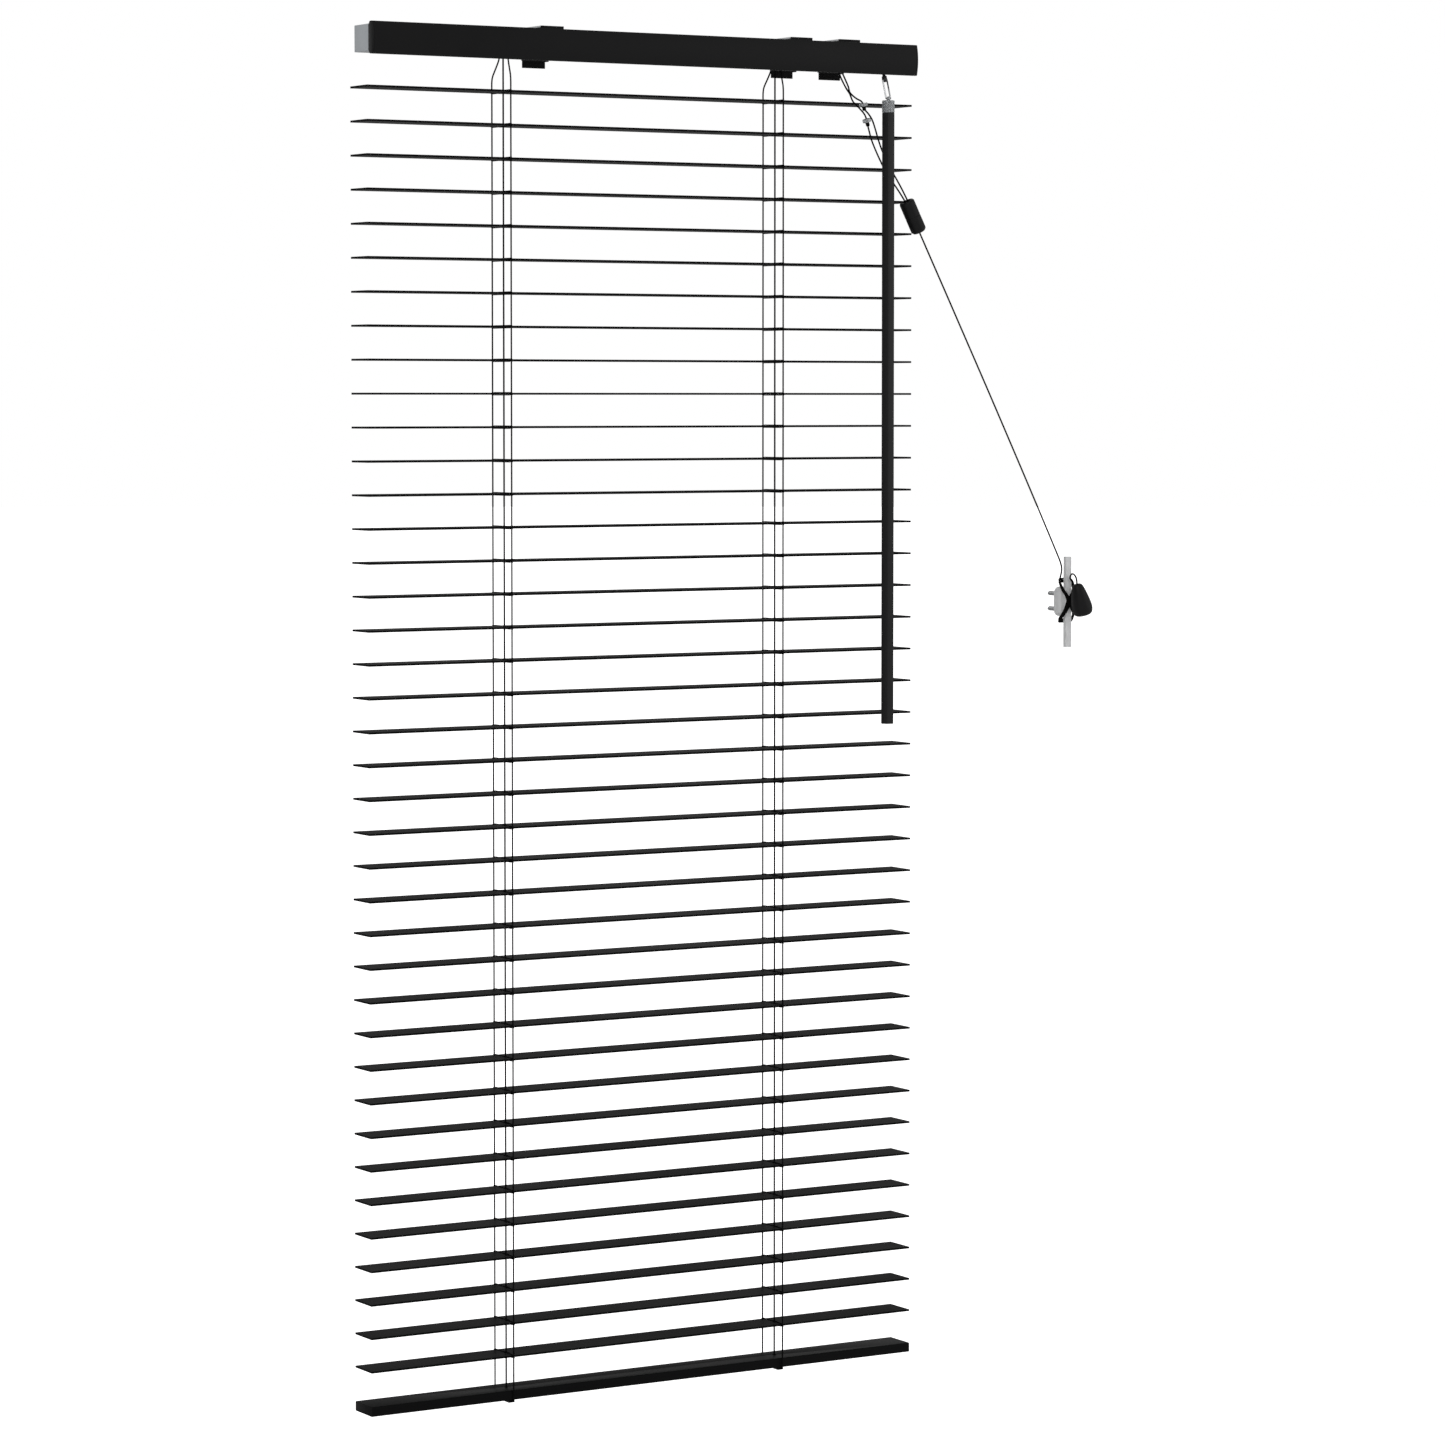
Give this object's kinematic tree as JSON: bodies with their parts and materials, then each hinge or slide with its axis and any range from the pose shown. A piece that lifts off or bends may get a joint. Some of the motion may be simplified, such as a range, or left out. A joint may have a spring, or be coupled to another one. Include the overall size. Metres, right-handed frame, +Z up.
{
  "type": "venetian blind",
  "caption": "Corded blind: flat black tilting slats in string ladders under a grey head rail with a bowed valance, a tilt wand, and a pull cord led to a wall cleat with a bell tassel.",
  "frame": {"origin": "centre of the left bracket's two screw holes, on the bracket's top face", "axes": "+X along the slats to the right seen from the room, +Y from the room to the wall, +Z up"},
  "size_m": [0.591, 0.0509, 0.9369],
  "materials": {
    "slat_black": "satin black coating on flat slats",
    "rail_black": "satin black coating on the bottom rail",
    "valance_black": "satin black moulding",
    "headrail_grey": "smooth grey paint",
    "cap_grey": "fine matt grey moulding",
    "bracket_steel": "light grey plated sheet",
    "catch_black": "matt black moulding",
    "insert_white": "off-white moulding",
    "rod_steel": "drawn steel bar",
    "gear_white": "natural acetal",
    "drum_white": "off-white moulding",
    "worm_black": "blackened steel",
    "roller_brass": "knurled brass",
    "connector_clear": "clear moulding",
    "wand_black": "smooth black hexagonal rod",
    "cord_black": "braided black cord",
    "pendant_black": "satin black moulding",
    "cleat_clear": "translucent light grey moulding"
  },
  "bodies": {
    "blind": {"head_rail": "headrail_grey", "rail_end_caps": "cap_grey", "valance": "valance_black", "mounting_brackets": "bracket_steel", "bracket_catches": "catch_black", "rail_inserts": "insert_white", "lift_cords": "cord_black", "pull_cords": "cord_black", "cleat_winding": "cord_black", "cord_cleat": "cleat_clear", "cord_pendants": "pendant_black"},
    "wand": {"tilt_wand": "wand_black", "wand_connector": "connector_clear"},
    "worm": {"tilt_worm": "worm_black"},
    "tilt_drive": {"tilt_rod": "rod_steel", "tilt_gear": "gear_white", "ladder_drums": "drum_white"},
    "bottom_rail": {"bottom_rail": "rail_black"},
    "ladder_front": {"ladder_front": "cord_black"},
    "ladder_back": {"ladder_back": "cord_black"},
    "lock_roller": {"lock_roller": "roller_brass"},
    "slat_01": {"slat_01": "slat_black"},
    "slat_02": {"slat_02": "slat_black"},
    "slat_03": {"slat_03": "slat_black"},
    "slat_04": {"slat_04": "slat_black"},
    "slat_05": {"slat_05": "slat_black"},
    "slat_06": {"slat_06": "slat_black"},
    "slat_07": {"slat_07": "slat_black"},
    "slat_08": {"slat_08": "slat_black"},
    "slat_09": {"slat_09": "slat_black"},
    "slat_10": {"slat_10": "slat_black"},
    "slat_11": {"slat_11": "slat_black"},
    "slat_12": {"slat_12": "slat_black"},
    "slat_13": {"slat_13": "slat_black"},
    "slat_14": {"slat_14": "slat_black"},
    "slat_15": {"slat_15": "slat_black"},
    "slat_16": {"slat_16": "slat_black"},
    "slat_17": {"slat_17": "slat_black"},
    "slat_18": {"slat_18": "slat_black"},
    "slat_19": {"slat_19": "slat_black"},
    "slat_20": {"slat_20": "slat_black"},
    "slat_21": {"slat_21": "slat_black"},
    "slat_22": {"slat_22": "slat_black"},
    "slat_23": {"slat_23": "slat_black"},
    "slat_24": {"slat_24": "slat_black"},
    "slat_25": {"slat_25": "slat_black"},
    "slat_26": {"slat_26": "slat_black"},
    "slat_27": {"slat_27": "slat_black"},
    "slat_28": {"slat_28": "slat_black"},
    "slat_29": {"slat_29": "slat_black"},
    "slat_30": {"slat_30": "slat_black"},
    "slat_31": {"slat_31": "slat_black"},
    "slat_32": {"slat_32": "slat_black"},
    "slat_33": {"slat_33": "slat_black"},
    "slat_34": {"slat_34": "slat_black"},
    "slat_35": {"slat_35": "slat_black"},
    "slat_36": {"slat_36": "slat_black"},
    "slat_37": {"slat_37": "slat_black"},
    "slat_38": {"slat_38": "slat_black"},
    "slat_39": {"slat_39": "slat_black"}
  },
  "joints": [
    {"name": "wand_turn", "type": "hinge", "parent": "blind", "child": "wand", "pos_m": [0.267, -0.0195, -0.0406], "axis": [0, 0, 1], "range_deg": [-1280, 1280]},
    {"name": "worm_turn", "type": "hinge", "parent": "blind", "child": "worm", "pos_m": [0.267, -0.00888, -0.01009], "axis": [0, 0.3289, 0.9444], "range_deg": [-1280, 1280]},
    {"name": "tilt_rod_turn", "type": "hinge", "parent": "blind", "child": "tilt_drive", "pos_m": [0, -0.0034, -0.012], "axis": [1, 0, 0], "range_deg": [-128, 128], "deforming": ["ladder_front", "ladder_back", "lift_cords"]},
    {"name": "slat_01_tilt", "type": "hinge", "parent": "blind", "child": "slat_01", "pos_m": [0.076, 0, -0.0446], "axis": [1, 0, 0], "range_deg": [-64, 64]},
    {"name": "slat_02_tilt", "type": "hinge", "parent": "blind", "child": "slat_02", "pos_m": [0.076, 0, -0.06724], "axis": [1, 0, 0], "range_deg": [-64, 64]},
    {"name": "slat_03_tilt", "type": "hinge", "parent": "blind", "child": "slat_03", "pos_m": [0.076, 0, -0.08989], "axis": [1, 0, 0], "range_deg": [-64, 64]},
    {"name": "slat_04_tilt", "type": "hinge", "parent": "blind", "child": "slat_04", "pos_m": [0.076, 0, -0.11253], "axis": [1, 0, 0], "range_deg": [-64, 64]},
    {"name": "slat_05_tilt", "type": "hinge", "parent": "blind", "child": "slat_05", "pos_m": [0.076, 0, -0.13518], "axis": [1, 0, 0], "range_deg": [-64, 64]},
    {"name": "slat_06_tilt", "type": "hinge", "parent": "blind", "child": "slat_06", "pos_m": [0.076, 0, -0.15782], "axis": [1, 0, 0], "range_deg": [-64, 64]},
    {"name": "slat_07_tilt", "type": "hinge", "parent": "blind", "child": "slat_07", "pos_m": [0.076, 0, -0.18047], "axis": [1, 0, 0], "range_deg": [-64, 64]},
    {"name": "slat_08_tilt", "type": "hinge", "parent": "blind", "child": "slat_08", "pos_m": [0.076, 0, -0.20311], "axis": [1, 0, 0], "range_deg": [-64, 64]},
    {"name": "slat_09_tilt", "type": "hinge", "parent": "blind", "child": "slat_09", "pos_m": [0.076, 0, -0.22576], "axis": [1, 0, 0], "range_deg": [-64, 64]},
    {"name": "slat_10_tilt", "type": "hinge", "parent": "blind", "child": "slat_10", "pos_m": [0.076, 0, -0.2484], "axis": [1, 0, 0], "range_deg": [-64, 64]},
    {"name": "slat_11_tilt", "type": "hinge", "parent": "blind", "child": "slat_11", "pos_m": [0.076, 0, -0.27105], "axis": [1, 0, 0], "range_deg": [-64, 64]},
    {"name": "slat_12_tilt", "type": "hinge", "parent": "blind", "child": "slat_12", "pos_m": [0.076, 0, -0.29369], "axis": [1, 0, 0], "range_deg": [-64, 64]},
    {"name": "slat_13_tilt", "type": "hinge", "parent": "blind", "child": "slat_13", "pos_m": [0.076, 0, -0.31634], "axis": [1, 0, 0], "range_deg": [-64, 64]},
    {"name": "slat_14_tilt", "type": "hinge", "parent": "blind", "child": "slat_14", "pos_m": [0.076, 0, -0.33898], "axis": [1, 0, 0], "range_deg": [-64, 64]},
    {"name": "slat_15_tilt", "type": "hinge", "parent": "blind", "child": "slat_15", "pos_m": [0.076, 0, -0.36163], "axis": [1, 0, 0], "range_deg": [-64, 64]},
    {"name": "slat_16_tilt", "type": "hinge", "parent": "blind", "child": "slat_16", "pos_m": [0.076, 0, -0.38427], "axis": [1, 0, 0], "range_deg": [-64, 64]},
    {"name": "slat_17_tilt", "type": "hinge", "parent": "blind", "child": "slat_17", "pos_m": [0.076, 0, -0.40692], "axis": [1, 0, 0], "range_deg": [-64, 64]},
    {"name": "slat_18_tilt", "type": "hinge", "parent": "blind", "child": "slat_18", "pos_m": [0.076, 0, -0.42956], "axis": [1, 0, 0], "range_deg": [-64, 64]},
    {"name": "slat_19_tilt", "type": "hinge", "parent": "blind", "child": "slat_19", "pos_m": [0.076, 0, -0.45221], "axis": [1, 0, 0], "range_deg": [-64, 64]},
    {"name": "slat_20_tilt", "type": "hinge", "parent": "blind", "child": "slat_20", "pos_m": [0.076, 0, -0.47486], "axis": [1, 0, 0], "range_deg": [-64, 64]},
    {"name": "slat_21_tilt", "type": "hinge", "parent": "blind", "child": "slat_21", "pos_m": [0.076, 0, -0.4975], "axis": [1, 0, 0], "range_deg": [-64, 64]},
    {"name": "slat_22_tilt", "type": "hinge", "parent": "blind", "child": "slat_22", "pos_m": [0.076, 0, -0.52014], "axis": [1, 0, 0], "range_deg": [-64, 64]},
    {"name": "slat_23_tilt", "type": "hinge", "parent": "blind", "child": "slat_23", "pos_m": [0.076, 0, -0.54279], "axis": [1, 0, 0], "range_deg": [-64, 64]},
    {"name": "slat_24_tilt", "type": "hinge", "parent": "blind", "child": "slat_24", "pos_m": [0.076, 0, -0.56544], "axis": [1, 0, 0], "range_deg": [-64, 64]},
    {"name": "slat_25_tilt", "type": "hinge", "parent": "blind", "child": "slat_25", "pos_m": [0.076, 0, -0.58808], "axis": [1, 0, 0], "range_deg": [-64, 64]},
    {"name": "slat_26_tilt", "type": "hinge", "parent": "blind", "child": "slat_26", "pos_m": [0.076, 0, -0.61072], "axis": [1, 0, 0], "range_deg": [-64, 64]},
    {"name": "slat_27_tilt", "type": "hinge", "parent": "blind", "child": "slat_27", "pos_m": [0.076, 0, -0.63337], "axis": [1, 0, 0], "range_deg": [-64, 64]},
    {"name": "slat_28_tilt", "type": "hinge", "parent": "blind", "child": "slat_28", "pos_m": [0.076, 0, -0.65602], "axis": [1, 0, 0], "range_deg": [-64, 64]},
    {"name": "slat_29_tilt", "type": "hinge", "parent": "blind", "child": "slat_29", "pos_m": [0.076, 0, -0.67866], "axis": [1, 0, 0], "range_deg": [-64, 64]},
    {"name": "slat_30_tilt", "type": "hinge", "parent": "blind", "child": "slat_30", "pos_m": [0.076, 0, -0.7013], "axis": [1, 0, 0], "range_deg": [-64, 64]},
    {"name": "slat_31_tilt", "type": "hinge", "parent": "blind", "child": "slat_31", "pos_m": [0.076, 0, -0.72395], "axis": [1, 0, 0], "range_deg": [-64, 64]},
    {"name": "slat_32_tilt", "type": "hinge", "parent": "blind", "child": "slat_32", "pos_m": [0.076, 0, -0.7466], "axis": [1, 0, 0], "range_deg": [-64, 64]},
    {"name": "slat_33_tilt", "type": "hinge", "parent": "blind", "child": "slat_33", "pos_m": [0.076, 0, -0.76924], "axis": [1, 0, 0], "range_deg": [-64, 64]},
    {"name": "slat_34_tilt", "type": "hinge", "parent": "blind", "child": "slat_34", "pos_m": [0.076, 0, -0.79188], "axis": [1, 0, 0], "range_deg": [-64, 64]},
    {"name": "slat_35_tilt", "type": "hinge", "parent": "blind", "child": "slat_35", "pos_m": [0.076, 0, -0.81453], "axis": [1, 0, 0], "range_deg": [-64, 64]},
    {"name": "slat_36_tilt", "type": "hinge", "parent": "blind", "child": "slat_36", "pos_m": [0.076, 0, -0.83718], "axis": [1, 0, 0], "range_deg": [-64, 64]},
    {"name": "slat_37_tilt", "type": "hinge", "parent": "blind", "child": "slat_37", "pos_m": [0.076, 0, -0.85982], "axis": [1, 0, 0], "range_deg": [-64, 64]},
    {"name": "slat_38_tilt", "type": "hinge", "parent": "blind", "child": "slat_38", "pos_m": [0.076, 0, -0.88247], "axis": [1, 0, 0], "range_deg": [-64, 64]},
    {"name": "slat_39_tilt", "type": "hinge", "parent": "blind", "child": "slat_39", "pos_m": [0.076, 0, -0.90511], "axis": [1, 0, 0], "range_deg": [-64, 64]},
    {"name": "bottom_rail_tilt", "type": "hinge", "parent": "blind", "child": "bottom_rail", "pos_m": [0.076, 0, -0.9319], "axis": [1, 0, 0], "range_deg": [-64, 64]},
    {"name": "ladder_front_swing", "type": "hinge", "parent": "slat_01", "child": "ladder_front", "pos_m": [0.076, -0.0135, -0.0446], "axis": [1, 0, 0], "range_deg": [-64, 64]},
    {"name": "ladder_back_swing", "type": "hinge", "parent": "slat_01", "child": "ladder_back", "pos_m": [0.076, 0.0135, -0.0446], "axis": [1, 0, 0], "range_deg": [-64, 64]},
    {"name": "lock_roller_slide", "type": "slide", "parent": "blind", "child": "lock_roller", "axis": [-0.8, 0, 0.6], "range_m": [0, 0.003]}
  ],
  "couplings": [
    {"joint": "worm_turn", "follows": "wand_turn", "ratio": 1},
    {"joint": "tilt_rod_turn", "follows": "wand_turn", "ratio": 0.1},
    {"joint": "slat_01_tilt", "follows": "wand_turn", "ratio": 0.05},
    {"joint": "slat_02_tilt", "follows": "wand_turn", "ratio": 0.05},
    {"joint": "slat_03_tilt", "follows": "wand_turn", "ratio": 0.05},
    {"joint": "slat_04_tilt", "follows": "wand_turn", "ratio": 0.05},
    {"joint": "slat_05_tilt", "follows": "wand_turn", "ratio": 0.05},
    {"joint": "slat_06_tilt", "follows": "wand_turn", "ratio": 0.05},
    {"joint": "slat_07_tilt", "follows": "wand_turn", "ratio": 0.05},
    {"joint": "slat_08_tilt", "follows": "wand_turn", "ratio": 0.05},
    {"joint": "slat_09_tilt", "follows": "wand_turn", "ratio": 0.05},
    {"joint": "slat_10_tilt", "follows": "wand_turn", "ratio": 0.05},
    {"joint": "slat_11_tilt", "follows": "wand_turn", "ratio": 0.05},
    {"joint": "slat_12_tilt", "follows": "wand_turn", "ratio": 0.05},
    {"joint": "slat_13_tilt", "follows": "wand_turn", "ratio": 0.05},
    {"joint": "slat_14_tilt", "follows": "wand_turn", "ratio": 0.05},
    {"joint": "slat_15_tilt", "follows": "wand_turn", "ratio": 0.05},
    {"joint": "slat_16_tilt", "follows": "wand_turn", "ratio": 0.05},
    {"joint": "slat_17_tilt", "follows": "wand_turn", "ratio": 0.05},
    {"joint": "slat_18_tilt", "follows": "wand_turn", "ratio": 0.05},
    {"joint": "slat_19_tilt", "follows": "wand_turn", "ratio": 0.05},
    {"joint": "slat_20_tilt", "follows": "wand_turn", "ratio": 0.05},
    {"joint": "slat_21_tilt", "follows": "wand_turn", "ratio": 0.05},
    {"joint": "slat_22_tilt", "follows": "wand_turn", "ratio": 0.05},
    {"joint": "slat_23_tilt", "follows": "wand_turn", "ratio": 0.05},
    {"joint": "slat_24_tilt", "follows": "wand_turn", "ratio": 0.05},
    {"joint": "slat_25_tilt", "follows": "wand_turn", "ratio": 0.05},
    {"joint": "slat_26_tilt", "follows": "wand_turn", "ratio": 0.05},
    {"joint": "slat_27_tilt", "follows": "wand_turn", "ratio": 0.05},
    {"joint": "slat_28_tilt", "follows": "wand_turn", "ratio": 0.05},
    {"joint": "slat_29_tilt", "follows": "wand_turn", "ratio": 0.05},
    {"joint": "slat_30_tilt", "follows": "wand_turn", "ratio": 0.05},
    {"joint": "slat_31_tilt", "follows": "wand_turn", "ratio": 0.05},
    {"joint": "slat_32_tilt", "follows": "wand_turn", "ratio": 0.05},
    {"joint": "slat_33_tilt", "follows": "wand_turn", "ratio": 0.05},
    {"joint": "slat_34_tilt", "follows": "wand_turn", "ratio": 0.05},
    {"joint": "slat_35_tilt", "follows": "wand_turn", "ratio": 0.05},
    {"joint": "slat_36_tilt", "follows": "wand_turn", "ratio": 0.05},
    {"joint": "slat_37_tilt", "follows": "wand_turn", "ratio": 0.05},
    {"joint": "slat_38_tilt", "follows": "wand_turn", "ratio": 0.05},
    {"joint": "slat_39_tilt", "follows": "wand_turn", "ratio": 0.05},
    {"joint": "bottom_rail_tilt", "follows": "wand_turn", "ratio": 0.05},
    {"joint": "ladder_front_swing", "follows": "wand_turn", "ratio": -0.05},
    {"joint": "ladder_back_swing", "follows": "wand_turn", "ratio": -0.05}
  ]
}
